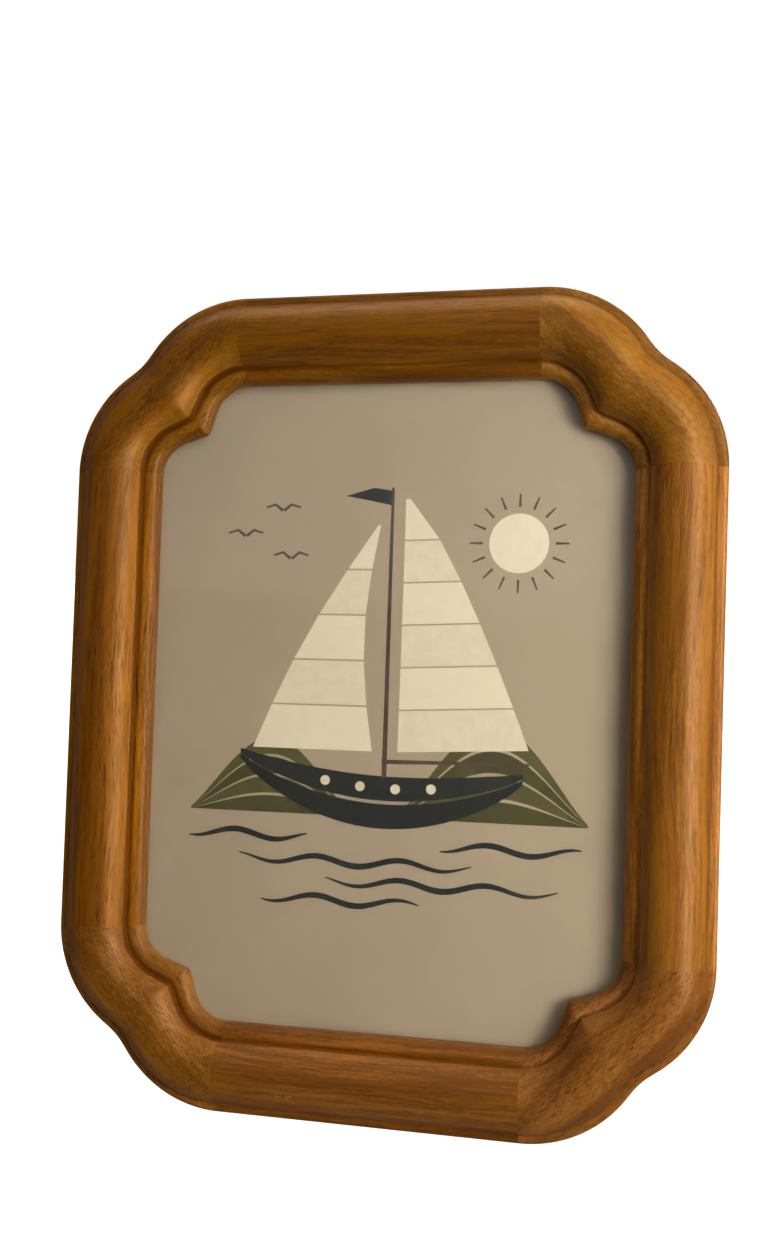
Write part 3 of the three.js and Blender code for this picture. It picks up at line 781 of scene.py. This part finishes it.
def add_dowel(node, material):
    """Fluted peg with chamfered ends, along x or along y."""
    low, high = own_box(node)
    size = high - low
    length = max(size)
    radius = min(size) / 2
    chamfer = 1.2 * mm
    flute = 0.35 * mm
    points_per_flute = 4
    sides = 12 * points_per_flute
    rings = []
    for x, pull in [(0, chamfer / 2), (chamfer, 0), (length - chamfer, 0), (length, chamfer / 2)]:
        ring = []
        for i in range(sides):
            angle = 2 * pi * i / sides
            reach = radius - pull - (flute if i % points_per_flute == 0 else 0)
            ring.append((x - length / 2, reach * cos(angle), reach * sin(angle)))
        rings.append(ring)
    turn = 0 if size.x > size.y else pi / 2
    place = stand @ Matrix.Translation((low + high) / 2) @ Matrix.Rotation(turn, 4, "Z")
    dress(lofted(node + "_peg", rings, place), node, material)


dowel_finish = beech()
for node in [name for name in nodes if "_dowel_" in name]:
    add_dowel(node, dowel_finish)

# Print: a sailing boat in front of two hills, under the sun. Its lines are in millimetres from the
# middle.

ink_step = 0.02 * mm
ink_low = print_high.z - ink_step
stroke_taper = 0.6
band_points = 33
band_inset = 0.02
waterline = -34
wave_height = 1.3
wave_thickness = 1.9
hull_start = -47
hull_length = 92
hull_depth = 17
deck_height = -19
bow_rise = 5
deck_sag = 3
sail_foot = -14
main_sail_width = 40
main_sail_height = 78
fore_sail_width = 39
fore_sail_height = 70
mast_place = 0.9
sun_centre = Vector((40, 50))
sun_radius = 9
ray_count = 16


def print_shapes(name, shapes, layer, material):
    """Flat printed shapes, each an outline and its tone. Higher layers lie over lower ones."""
    points = []
    faces = []
    tones = []
    for outline, tone in shapes:
        start = len(points)
        for height in (ink_low, print_high.z + layer * ink_step):
            points += [(x * mm, y * mm, height) for x, y in outline]
        faces += [tuple(start + i for i in face) for face in loft_faces(2, len(outline))]
        tones += [tone] * (2 * len(outline))
    piece = new_piece(name, points, faces)
    write_points(piece, "tone", tones)
    piece.data.materials.append(material)
    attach(piece, "frame")


def stroke(path, width, tone=0.5):
    """Strip along a path, thinner towards its end."""
    left = []
    right = []
    for i, point in enumerate(path):
        before = path[max(i - 1, 0)]
        after = path[min(i + 1, len(path) - 1)]
        along = (after - before).normalized()
        sideways = Vector((-along.y, along.x)) * width / 2 * (1 - stroke_taper * i / len(path))
        left.append(tuple(point + sideways))
        right.append(tuple(point - sideways))
    return (left + right[::-1], tone)


def dot(centre, radius, tone=0.5):
    return ([tuple(p) for p in arc(centre, radius, 0, 2 * pi, 40)[:-1]], tone)


def stripes(line, count, gap, tones):
    """Bands between two lines, with bare gaps between them. The line's second argument goes from 0 to 1
    across the bands."""
    shapes = []
    first = band_inset
    last = 1 - band_inset
    for i in range(count):
        lower = [line(share, i / count) for share in np.linspace(first, last, band_points)]
        upper = [line(share, (i + 1 - gap) / count) for share in np.linspace(last, first, band_points)]
        shapes.append((lower + upper, tones[i % len(tones)]))
    return shapes


def hill(start, end, height):
    def line(share, part):
        rise = height * part * sin(pi * share) ** 1.3
        return start + (end - start) * share, waterline + rise

    return stripes(line, 4, 0.14, (0.3, 0.85))


def wave(start, end, height):
    def line(share, part):
        x = start + (end - start) * share
        crest = wave_height * sin(x / 4.2)
        return x, height + crest + (part - 0.5) * wave_thickness * sin(pi * share) ** 0.6

    return stripes(line, 1, 0, (0.5,))


def hull_line(share, part):
    sheer = deck_height + bow_rise * (1 - share) ** 3 - deck_sag * sin(pi * share)
    return hull_start + hull_length * share, sheer - hull_depth * part * sin(pi * share) ** 0.6


def main_sail_line(share, part):
    luff = 4 + part
    leech = 5.5 + main_sail_width * (1 - part) ** 0.75
    return luff + (leech - luff) * share, sail_foot + main_sail_height * part + 2 * share * (1 - part)


def fore_sail_line(share, part):
    belly = sin(pi * part)
    luff = -42 + fore_sail_width * part - 3 * belly
    leech = -2.4 - 4 * belly
    return luff + (leech - luff) * share, sail_foot + fore_sail_height * part


def add_boat():
    olive = ink("olive_ink", srgb(80, 73, 28), srgb(60, 54, 16))
    teal = ink("teal_ink", srgb(26, 29, 22), srgb(15, 17, 13))
    cream = ink("cream_ink", srgb(224, 205, 175), srgb(206, 187, 157))
    brown = ink("brown_ink", srgb(92, 66, 50), srgb(58, 40, 32))
    print_shapes("printed_hills", hill(-62, -8, 24) + hill(4, 64, 30), 1, olive)
    wave_spans = [(-62, -22, -41), (18, 62, -42), (-46, 30, -48), (-18, 56, -54), (-38, 14, -60)]
    waves = [shape for start, end, height in wave_spans for shape in wave(start, end, height)]
    print_shapes("printed_waves", waves, 1, teal)
    pennant = ([(mast_place, 66), (-5, 67), (-14, 64.5), (-6, 63), (mast_place, 61.5)], 0.6)
    print_shapes("printed_hull", stripes(hull_line, 2, 0.12, (0.7, 0.3)) + [pennant], 2, teal)
    main_sail = stripes(main_sail_line, 6, 0.04, (0.55, 0.85))
    fore_sail = stripes(fore_sail_line, 5, 0.04, (0.85, 0.55))
    print_shapes("printed_sails", main_sail + fore_sail, 2, cream)
    ports = [dot(hull_line(share, 0.22), 1.5, 0.7) for share in (0.32, 0.44, 0.56, 0.68)]
    print_shapes("printed_ports", ports, 3, cream)
    print_shapes("printed_sun", [dot(sun_centre, sun_radius, 0.8)], 1, cream)
    mast = stroke([Vector((mast_place, height)) for height in (-22, 24, 67)], 1.5)
    boom = stroke([Vector(point) for point in [(0, -17), (22, -16.6), (45, -16.2)]], 1.3)
    rays = []
    for i in range(ray_count):
        angle = 2 * pi * i / ray_count
        way = Vector((cos(angle), sin(angle)))
        rays.append(stroke([sun_centre + way * (sun_radius + reach) for reach in (2, 4, 6)], 0.8))
    birds = []
    wing_line = [(0.2, 0), (2.6, 1.9), (5.6, 1)]
    for x, y in [(-46, 52), (-34, 60), (-31, 45)]:
        for side in (1, -1):
            wing = [Vector((x + side * reach, y + rise)) for reach, rise in wing_line]
            birds.append(stroke(wing, 1.0))
    print_shapes("printed_lines", [mast] + rays + birds, 3, brown)
    print_shapes("printed_boom", [boom], 4, brown)


add_boat()

# Turn buttons and their screws

button_width = 9 * mm
button_reach = 17 * mm
button_thickness = 1.2 * mm
button_thumb = 3.6 * mm
button_bend = 3.6 * mm
button_lift = 1.6 * mm
metal_ease = 0.25 * mm
screw_radius = 1.5 * mm
shank_fit = 0.15 * mm
through = 10 * mm


def seat_at(low, high, height):
    """Place in the middle of a box's width, at this height."""
    return stand @ Matrix.Translation(((low.x + high.x) / 2, (low.y + high.y) / 2, height))


def rod(name, radius, length, place):
    """Plain cutter about the z axis, centred."""
    profile = [(0, -length / 2), (radius, -length / 2), (radius, length / 2), (0, length / 2)]
    return turned(name, profile, place)


def add_button(node):
    """Bent tab about its screw, reaching inwards, with a raised end for the thumb."""
    screw_low, screw_high = own_box(node.replace("button", "button_screw"))
    x, y, _ = (screw_low + screw_high) / 2
    end = button_width / 2
    thumb_start = button_reach - button_thumb
    # The round ends begin this far round, with a narrow face
    blunt_angle = 0.12
    rings = []
    for angle in np.linspace(blunt_angle, pi / 2, 9):
        rings.append((-end * cos(angle), end * sin(angle)))
    for along in np.linspace(1 * mm, button_reach - end - 0.5 * mm, 14):
        rings.append((along, end))
    for angle in np.linspace(pi / 2, blunt_angle, 9):
        rings.append((button_reach - end + end * cos(angle), end * sin(angle)))
    loops = []
    for along, half in rings:
        top = -button_lift * smooth_step(along, thumb_start - button_bend, thumb_start)
        ease = min(metal_ease, half / 2)
        loops.append(bar_ring(along, -half, half, top - button_thickness, top, ease))
    turn = 0 if x < 0 else pi
    seat = own_box(node)[1].z
    place = stand @ Matrix.Translation((x, y, seat)) @ Matrix.Rotation(turn, 4, "Z")
    tab = lofted(node + "_tab", loops, place)
    combine(tab, [rod("hole", screw_radius + shank_fit, through, place)], "DIFFERENCE")
    dress(tab, node, brass)


def domed_head(radius, rise):
    """Profile of a low dome on the -z side of its seat, from its crown to its rim."""
    edge = rise / 4
    angles = np.linspace(0, 1.45, 10)
    crown = [(radius * sin(angle), -edge - (rise - edge) * cos(angle)) for angle in angles]
    return [*crown, (radius, -edge), (radius, 0)]


def threaded(radius, start, end):
    """Profile of a shank with the ridges of a thread."""
    pitch = 0.9 * mm
    depth = 0.28 * mm
    count = round((end - start) / pitch)
    profile = []
    for i in range(count):
        height = start + (end - start) * i / count
        profile.append((radius - depth, height))
        profile.append((radius, height + 0.45 * pitch))
        profile.append((radius, height + 0.55 * pitch))
    return profile


def add_screw(node):
    """Round-headed screw with a cross slot, its head away from the wood."""
    head_radius = 3.2 * mm
    head_rise = 1.9 * mm
    tip = 3 * mm
    slot_length = 3.8 * mm
    slot_width = 1 * mm
    slot_depth = 1.1 * mm
    low, high = own_box(node)
    seat = low.z + head_rise
    shank = high.z - seat
    neck = 2 * mm
    profile = domed_head(head_radius, head_rise) + [(screw_radius, 0), (screw_radius, neck)]
    profile += threaded(screw_radius, neck, shank - tip)
    profile += [(screw_radius * 0.8, shank - tip), (0, shank)]
    place = seat_at(low, high, seat)
    screw = turned(node + "_turned", profile, place)
    # Each screw was driven home to another angle
    turn = Matrix.Rotation(0.4 + low.x * 90 + low.y * 40, 4, "Z")
    slots = []
    for half_x, half_y in [(slot_length / 2, slot_width / 2), (slot_width / 2, slot_length / 2)]:
        outline = [(-half_x, -half_y), (half_x, -half_y), (half_x, half_y), (-half_x, half_y)]
        slots.append(prism("slot", outline, -head_rise - 1 * mm, slot_depth - head_rise, place @ turn))
    combine(screw, slots, "DIFFERENCE")
    dress(screw, node, brass)


for node in [name for name in nodes if name.startswith("turn_button_")]:
    if "screw" in node:
        add_screw(node)
    else:
        add_button(node)

# Wall hanger and its nails

hanger_raise = 2 * mm
hanger_thickness = 0.9 * mm
tooth_count = 9
tooth_depth = 1.6 * mm
hanger_ease = 0.2 * mm
flat_end_share = 0.2
bend_share = 0.07


def add_hanger(node):
    """Bent steel strip, toothed along its lower edge, with rounded ends that lie on the wood."""
    low, high = own_box(node)
    half = (high.x - low.x) / 2
    top = (high.y - low.y) / 2
    bend_start = half - flat_end_share * 2 * half
    raised_half = bend_start - bend_share * 2 * half
    end_round = 2 * mm
    pitch = 2 * raised_half / tooth_count
    stations = []
    for angle in np.linspace(0.2, pi / 2, 6):
        pull = end_round * (1 - sin(angle))
        stations.append((-half + end_round * (1 - cos(angle)), pull, pull))
    for x in np.linspace(-bend_start, -raised_half, 7):
        stations.append((x, 0, 0))
    other_end = [(-x, cut, pull) for x, cut, pull in reversed(stations)]
    for i in range(tooth_count):
        for share, cut in [(0.08, 0), (0.5, tooth_depth), (0.92, 0)]:
            stations.append(((i + share) * pitch - raised_half, cut, 0))
    rings = []
    for x, cut, pull in stations + other_end:
        off_wood = -hanger_raise * (1 - smooth_step(abs(x), raised_half, bend_start))
        lowest = off_wood - hanger_thickness
        rings.append(bar_ring(x, cut - top, top - pull, lowest, off_wood, hanger_ease))
    dress(lofted(node + "_strip", rings, seat_at(low, high, high.z)), node, steel)


def add_pin(node, head, tip, place=None):
    """Rivet or nail: a domed head and a plain shank. It stands along z unless a place is given."""
    low, high = own_box(node)
    if place is None:
        place = seat_at(low, high, low.z + head["rise"])
        length = high.z - low.z - head["rise"]
    else:
        length = head["length"]
    shank = head["shank"]
    profile = domed_head(head["radius"], head["rise"]) + [(shank, 0), (shank, length - tip)]
    profile += [(shank * 0.25, length), (0, length)] if tip else [(0, length)]
    dress(turned(node + "_turned", profile, place), node, steel)


nail_size = {"radius": 2 * mm, "rise": 0.8 * mm, "shank": 0.8 * mm}
nail_tip = 2 * mm
add_hanger("sawtooth_hanger")
add_pin("hanger_nail_left", nail_size, nail_tip)
add_pin("hanger_nail_right", nail_size, nail_tip)

# Easel leg and its hinge. They are drawn about the hinge pin, with the leg along -y as when it is
# folded.

easel_fold = joint_named("easel_fold")
leg_angle = radians(easel_fold["range_deg"][1])
pin_place = lean @ Vector(easel_fold["pos_m"]) - middle
pin_place.x = 0
hinge = stand @ Matrix.Translation(pin_place)
leg = hinge @ Matrix.Rotation(leg_angle, 4, "X")
across = Matrix.Rotation(pi / 2, 4, "Y")
knuckle_radius = 2.5 * mm
bore_radius = 1.7 * mm
pin_radius = 1.5 * mm
knuckle_gap = 0.3 * mm
leaf_clearance = knuckle_radius + 2 * knuckle_gap
board_leaf_half = 17 * mm
leg_leaf_half = 13 * mm
leaf_length = 21 * mm
leaf_round = 3 * mm
middle_half = 6.5 * mm
heel_gap = 0.2 * mm
heel_length = (bore_radius - heel_gap + bore_radius * cos(leg_angle)) / sin(leg_angle)
rivet_size = {"radius": 2.8 * mm, "rise": 1.1 * mm, "shank": 1.5 * mm}
rivet_length = 4 * mm
rivet_spread = 7.5 * mm
rivet_from_end = 6 * mm
rivet_gap = 0.2 * mm
metal_edge = 0.12 * mm


def rolled_knuckle(name, left, right):
    """Strip of the leaf's metal that comes down from the leaf and rolls round the pin."""
    roll_end = pi / 2 + radians(325)
    far = leaf_clearance + leaf_round
    outer = arc((0, 0), knuckle_radius, pi / 2, roll_end, 40)
    inner = arc((0, 0), bore_radius, roll_end, pi / 2, 40)
    outline = [(far, knuckle_radius), *outer, *inner, (far, bore_radius)]
    return lofted(name, [[(x, *point) for point in outline] for x in (left, right)], hinge)


def add_board_leaf(node):
    half = board_leaf_half
    outline = rounded_rectangle(-half, leaf_clearance, half, leaf_length, 0, leaf_round)
    plate = prism(node + "_plate", outline, bore_radius, knuckle_radius, hinge)
    inner_end = middle_half + knuckle_gap
    left = rolled_knuckle("left_knuckle", -half, -inner_end)
    right = rolled_knuckle("right_knuckle", inner_end, half)
    combine(plate, [left, right], "UNION")
    soften(plate, metal_edge)
    dress(plate, node, steel)


def add_leg_leaf(node):
    """Leaf on the leg, with the middle knuckle and the heel that stops the leg."""
    half = leg_leaf_half
    outline = rounded_rectangle(-half, -leaf_length, half, -leaf_clearance, leaf_round, 0)
    plate = prism(node + "_plate", outline, -knuckle_radius, -bore_radius, leg)
    heel = rounded_rectangle(-middle_half, -leaf_clearance - leaf_round, middle_half, heel_length, 0, 0)
    barrel = rod("barrel", knuckle_radius, 2 * middle_half, leg @ across)
    combine(plate, [prism("heel", heel, -knuckle_radius, -bore_radius, leg), barrel], "UNION")
    combine(plate, [rod("bore", bore_radius, 4 * middle_half, leg @ across)], "DIFFERENCE")
    soften(plate, metal_edge)
    dress(plate, node, steel)


def add_hinge_pin(node):
    head_radius = 2.2 * mm
    head_length = 0.8 * mm
    shoulder = board_leaf_half + knuckle_gap
    half = domed_head(head_radius, head_length)
    lower = [(radius, height - shoulder) for radius, height in half] + [(pin_radius, -shoulder)]
    profile = lower + [(radius, -height) for radius, height in reversed(lower)]
    dress(turned(node + "_turned", profile, hinge @ across), node, steel)


def add_leg(node):
    """Tapered board with rounded shoulders. Its foot is cut to lie flat on the table."""
    thickness = 3 * mm
    half = thickness / 2
    top_half = 18 * mm
    foot_half = 31 * mm
    top_round = 5 * mm
    edge = 0.3 * mm
    foot_lift = 0.2
    rise = leg[2]

    def foot(depth):
        return -(rise[3] + rise[2] * depth) / rise[1]

    rings = []
    for depth, inset in [(-half, edge), (edge - half, 0), (half - edge, 0), (half, edge)]:
        shoulder = -leaf_clearance - top_round
        radius = top_round - inset
        low = foot(depth) + inset * foot_lift
        outline = [(inset - foot_half, low), (foot_half - inset, low)]
        outline += arc((top_half - top_round, shoulder), radius, 0, pi / 2, 8)
        outline += arc((top_round - top_half, shoulder), radius, pi / 2, pi, 8)
        rings.append([(*point, depth) for point in outline])
    dress(lofted(node + "_board", rings, leg), node, board_finish)


add_board_leaf("hinge_board_leaf")
add_leg_leaf("hinge_leg_leaf")
add_hinge_pin("hinge_pin")
add_leg("easel_leg")
for end, side in [("left", -1), ("right", 1)]:
    add_pin("hinge_board_rivet_" + end, rivet_size, 0)
    seat = (side * rivet_spread, rivet_from_end - leaf_length, -knuckle_radius - rivet_gap)
    leg_rivet = {**rivet_size, "length": rivet_length}
    add_pin("hinge_leg_rivet_" + end, leg_rivet, 0, leg @ Matrix.Translation(seat))

# Finishes of the solids that stay

for node, finish in [
    ("glass_pane", clear_glass()),
    ("art_print", paper()),
    ("back_board", board_finish),
]:
    nodes[node].data.materials.clear()
    nodes[node].data.materials.append(finish)

# Stage


def backdrop():
    """Sheet that lights itself, so that it stays white behind a dark object."""
    s = Surface("backdrop")
    cloud = s.noise(s.object_place(), scale=3.0, detail=2.0)
    grey = s.mix(cloud, (0.5, 0.5, 0.5, 1), (0.54, 0.54, 0.54, 1))
    white = (1, 1, 1, 1)
    return s.finish_principled(
        Base_Color=grey, Roughness=0.8, Emission_Color=white, Emission_Strength=1.0
    )


def add_sweep():
    """Round floor that rises into a wall and closes overhead. Only the camera sees it."""
    bend_radius = 1.2
    wall = 4
    line = arc((wall - bend_radius, bend_radius), bend_radius, -pi / 2, 0, 12)
    line += arc((wall - bend_radius, wall - bend_radius), bend_radius, 0, pi / 2, 12)
    sweep = turned("sweep", [(0, 0), *line, (0, wall)], Matrix.Identity(4), 64)
    sweep.data.materials.append(backdrop())
    sweep.visible_diffuse = False
    sweep.visible_glossy = False
    sweep.visible_transmission = False
    sweep.visible_shadow = False


def add_lamp(name, place, width, height, power, colour=(1, 1, 1), shows="both", aim=(0, 0, 0)):
    """Soft rectangular lamp. Place and aim are in the frame's own axes. It can show in the light on
    the surfaces, in their highlights or in both."""
    lamp = bpy.data.lights.new(name, "AREA")
    lamp.shape = "RECTANGLE"
    lamp.size = width
    lamp.size_y = height
    lamp.energy = power
    lamp.color = colour
    holder = new_object(name, lamp)
    holder.location = stand @ Vector(place)
    direction = stand @ Vector(aim) - holder.location
    holder.rotation_euler = direction.to_track_quat("-Z", "Y").to_euler()
    holder.visible_camera = False
    holder.visible_diffuse = shows != "highlights"
    holder.visible_glossy = shows != "light"


def add_world():
    """Dim room in front of the frame, paler behind it."""
    world = bpy.data.worlds.new("studio")
    world.use_nodes = True
    tree = world.node_tree
    way = add_node(tree, "TexCoord", {}).outputs["Generated"]
    facing = add_node(tree, "VectorMath", {0: way, 1: out_axis}, operation="DOT_PRODUCT")
    outward = facing.outputs["Value"]
    ramp = {"Value": outward, "From Min": -0.3, "From Max": 0.5, "To Min": 0.14, "To Max": 0.05}
    light = add_node(tree, "MapRange", ramp).outputs["Result"]
    background = tree.nodes["Background"]
    background.inputs["Color"].default_value = (1, 0.85, 0.7, 1)
    tree.links.new(light, background.inputs["Strength"])
    scene.world = world


warm = (1, 0.8, 0.55)
add_sweep()
add_world()
add_lamp("key", (0.55, 0.03, 0.5), 0.14, 0.18, 2.6, shows="light")
add_lamp("window", (0.62, 0.15, 0.58), 0.6, 0.9, 3.0, shows="light")
add_lamp("sheen", (0.26, 0.04, 0.22), 0.12, 0.5, 1.4, shows="highlights")
add_lamp("side", (0.95, 0.35, 0.05), 0.6, 0.6, 1.3, warm)
add_lamp("overhead", (-0.1, 0.95, 0.02), 1.0, 0.6, 4.2, warm, aim=(0, 0.1, 0.02))
add_lamp("bounce", (0.0, -0.6, 0.3), 1.0, 0.5, 0.8, shows="light", aim=(0, -0.1, 0))
add_lamp("front", (0.1, 0.62, 1.1), 0.4, 0.3, 0.9)
add_lamp("card", (-0.25, 0.4, 1.2), 0.9, 0.55, 0.3)
add_lamp("rear", (-0.4, 0.5, -1.1), 0.8, 0.8, 8.0)

# Camera


def add_camera():
    photo_height = 1240
    focal_pixels = 1282.8
    below_middle = 51.2
    eye = Vector((84.9, -1.9, 387.1)) * mm
    aim = Vector((0.5, 10.3, 13.1)) * mm
    roll = radians(1.91)
    ahead = (aim - eye).normalized()
    side = ahead.cross(Vector((0, 1, 0))).normalized()
    above = side.cross(ahead)
    right = side * cos(roll) + above * sin(roll)
    top = right.cross(ahead)
    turn = Matrix((right, top, -ahead)).transposed().to_4x4()
    lens = bpy.data.cameras.new("camera")
    lens.sensor_width = 36
    lens.lens = lens.sensor_width * focal_pixels / photo_height
    lens.shift_y = below_middle / photo_height
    lens.clip_start = 0.01
    camera = new_object("camera", lens)
    camera.matrix_world = stand @ Matrix.Translation(eye) @ turn
    scene.camera = camera


add_camera()
scene.view_settings.view_transform = "Standard"
scene.cycles.use_denoising = True
